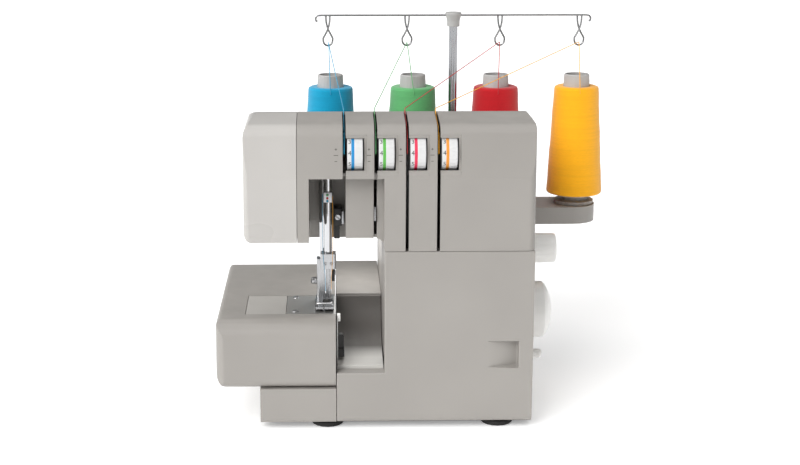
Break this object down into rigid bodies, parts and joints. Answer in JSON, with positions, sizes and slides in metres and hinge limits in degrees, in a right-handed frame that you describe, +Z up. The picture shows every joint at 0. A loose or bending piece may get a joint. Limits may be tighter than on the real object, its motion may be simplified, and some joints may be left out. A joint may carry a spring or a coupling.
{
  "type": "serger overlock machine",
  "caption": "Free-standing overlock sewing machine with thread cones on a rear stand, a telescopic thread mast, tension dials and a fold-down looper cover.",
  "frame": {"origin": "middle of the base, on the table", "axes": "+X to the operator's right, +Y to the back, +Z up"},
  "size_m": [0.3762, 0.2568, 0.3467],
  "materials": {
    "body_plastic": "warm light grey, fine satin moulding",
    "face_plastic": "lighter grey, smooth satin gloss",
    "pale_plastic": "pale grey, semi-gloss",
    "dark_plastic": "near-black, matte",
    "rubber": "black rubber",
    "cast_frame": "as cast",
    "steel": "brushed",
    "chrome": "polished",
    "cone_core": "grey moulded tube",
    "thread_blue": "wound spun thread",
    "thread_green": "wound spun thread",
    "thread_red": "wound spun thread",
    "thread_yellow": "wound spun thread"
  },
  "bodies": {
    "machine": {"base_pan": "dark_plastic", "foot_front_left": "rubber", "foot_front_right": "rubber", "foot_rear_left": "rubber", "foot_rear_right": "rubber", "frame_casting": "cast_frame", "rear_cover": "body_plastic", "lower_left_cover": "body_plastic", "bed_strip": "body_plastic", "free_arm": "body_plastic", "needle_plate": "steel", "head_cover": "body_plastic", "face_cover": "face_plastic", "spool_stand": "body_plastic", "mast_lower": "chrome", "motor": "cast_frame", "drive_belt": "rubber", "power_inlet": "dark_plastic", "spool_pin_blue": "body_plastic", "cone_core_blue": "cone_core", "thread_cone_blue": "thread_blue", "thread_blue": "thread_blue", "spool_pin_green": "body_plastic", "cone_core_green": "cone_core", "thread_cone_green": "thread_green", "thread_green": "thread_green", "spool_pin_red": "body_plastic", "cone_core_red": "cone_core", "thread_cone_red": "thread_red", "thread_red": "thread_red", "spool_pin_yellow": "body_plastic", "cone_core_yellow": "cone_core", "thread_cone_yellow": "thread_yellow", "thread_yellow": "thread_yellow"},
    "drive_line": {"main_shaft": "steel", "handwheel": "pale_plastic"},
    "motor_pulley": {"motor_pulley": "steel"},
    "stitch_length_dial": {"stitch_length_dial": "pale_plastic"},
    "feed_lever": {"feed_lever": "pale_plastic"},
    "power_switch": {"power_switch": "dark_plastic"},
    "cover_frame": {"cover_hinge_rod": "steel", "waste_chute": "body_plastic"},
    "looper_cover": {"looper_cover": "body_plastic"},
    "finger_lever": {"finger_lever": "dark_plastic"},
    "bed_extension": {"bed_extension": "body_plastic"},
    "needle_group": {"needle_bar": "chrome", "needle_clamp": "steel", "needle_left": "chrome", "needle_right": "chrome"},
    "presser_group": {"presser_bar": "chrome", "presser_foot": "steel"},
    "presser_lever": {"presser_lever": "dark_plastic"},
    "lower_looper": {"lower_looper": "steel"},
    "upper_looper": {"upper_looper": "steel"},
    "mast_top": {"mast_upper": "chrome", "guide_bar": "chrome"},
    "tension_dial_blue": {"tension_dial_blue": "pale_plastic"},
    "tension_dial_green": {"tension_dial_green": "pale_plastic"},
    "tension_dial_red": {"tension_dial_red": "pale_plastic"},
    "tension_dial_yellow": {"tension_dial_yellow": "pale_plastic"}
  },
  "joints": [
    {"name": "handwheel_turn", "type": "hinge", "parent": "machine", "child": "drive_line", "pos_m": [0.0905, -0.0334, 0.0805], "axis": [1, 0, 0], "continuous": true},
    {"name": "motor_turn", "type": "hinge", "parent": "machine", "child": "motor_pulley", "pos_m": [0.0745, 0.0286, 0.045], "axis": [1, 0, 0], "continuous": true},
    {"name": "stitch_length_turn", "type": "hinge", "parent": "machine", "child": "stitch_length_dial", "pos_m": [0.0905, -0.0334, 0.1397], "axis": [1, 0, 0], "range_deg": [-100, 100]},
    {"name": "feed_lever_slide", "type": "slide", "parent": "machine", "child": "feed_lever", "axis": [0, 1, 0], "range_m": [-0.01, 0.01]},
    {"name": "power_switch_rock", "type": "hinge", "parent": "machine", "child": "power_switch", "pos_m": [0.0885, 0.0166, 0.06], "axis": [0, 0, 1], "range_deg": [-5, 5]},
    {"name": "cover_tip", "type": "hinge", "parent": "machine", "child": "cover_frame", "pos_m": [-0.0001, -0.1234, 0.01], "axis": [1, 0, 0], "range_deg": [0, 85]},
    {"name": "cover_slide", "type": "slide", "parent": "cover_frame", "child": "looper_cover", "axis": [1, 0, 0], "range_m": [0, 0.008]},
    {"name": "finger_lever_slide", "type": "slide", "parent": "cover_frame", "child": "finger_lever", "axis": [0, 1, 0], "range_m": [0, 0.005]},
    {"name": "bed_extension_slide", "type": "slide", "parent": "machine", "child": "bed_extension", "axis": [-1, 0, 0], "range_m": [0, 0.085]},
    {"name": "needle_stroke", "type": "slide", "parent": "machine", "child": "needle_group", "axis": [0, 0, 1], "range_m": [-0.024, 0]},
    {"name": "lower_looper_swing", "type": "hinge", "parent": "machine", "child": "lower_looper", "pos_m": [-0.1121, -0.0714, 0.052], "axis": [0, 1, 0], "range_deg": [-12.5, 0.5]},
    {"name": "upper_looper_swing", "type": "hinge", "parent": "machine", "child": "upper_looper", "pos_m": [-0.0921, -0.0784, 0.054], "axis": [0, 1, 0], "range_deg": [-0.5, 12.5]},
    {"name": "presser_bar_slide", "type": "slide", "parent": "machine", "child": "presser_group", "axis": [0, 0, 1], "range_m": [0, 0.006]},
    {"name": "presser_lever_lift", "type": "hinge", "parent": "machine", "child": "presser_lever", "pos_m": [-0.0701, 0.0666, 0.184], "axis": [0, 1, 0], "range_deg": [-0.5, 30.5]},
    {"name": "mast_slide", "type": "slide", "parent": "machine", "child": "mast_top", "axis": [0, 0, 1], "range_m": [-0.024, 0], "deforming": ["thread_blue", "thread_green", "thread_red", "thread_yellow"]},
    {"name": "tension_blue_turn", "type": "hinge", "parent": "machine", "child": "tension_dial_blue", "pos_m": [-0.0658, -0.11155, 0.2455], "axis": [1, 0, 0], "range_deg": [-130, 150]},
    {"name": "tension_green_turn", "type": "hinge", "parent": "machine", "child": "tension_dial_green", "pos_m": [-0.0387, -0.11155, 0.2455], "axis": [1, 0, 0], "range_deg": [-130, 150]},
    {"name": "tension_red_turn", "type": "hinge", "parent": "machine", "child": "tension_dial_red", "pos_m": [-0.0116, -0.11155, 0.2455], "axis": [1, 0, 0], "range_deg": [-130, 150]},
    {"name": "tension_yellow_turn", "type": "hinge", "parent": "machine", "child": "tension_dial_yellow", "pos_m": [0.0155, -0.11155, 0.2455], "axis": [1, 0, 0], "range_deg": [-130, 150]}
  ],
  "couplings": [
    {"joint": "motor_turn", "follows": "handwheel_turn", "ratio": 3},
    {"joint": "lower_looper_swing", "follows": "needle_stroke", "rad_per_m": 8.7266},
    {"joint": "upper_looper_swing", "follows": "needle_stroke", "rad_per_m": -8.7266},
    {"joint": "presser_lever_lift", "follows": "presser_bar_slide", "rad_per_m": 87.266}
  ]
}
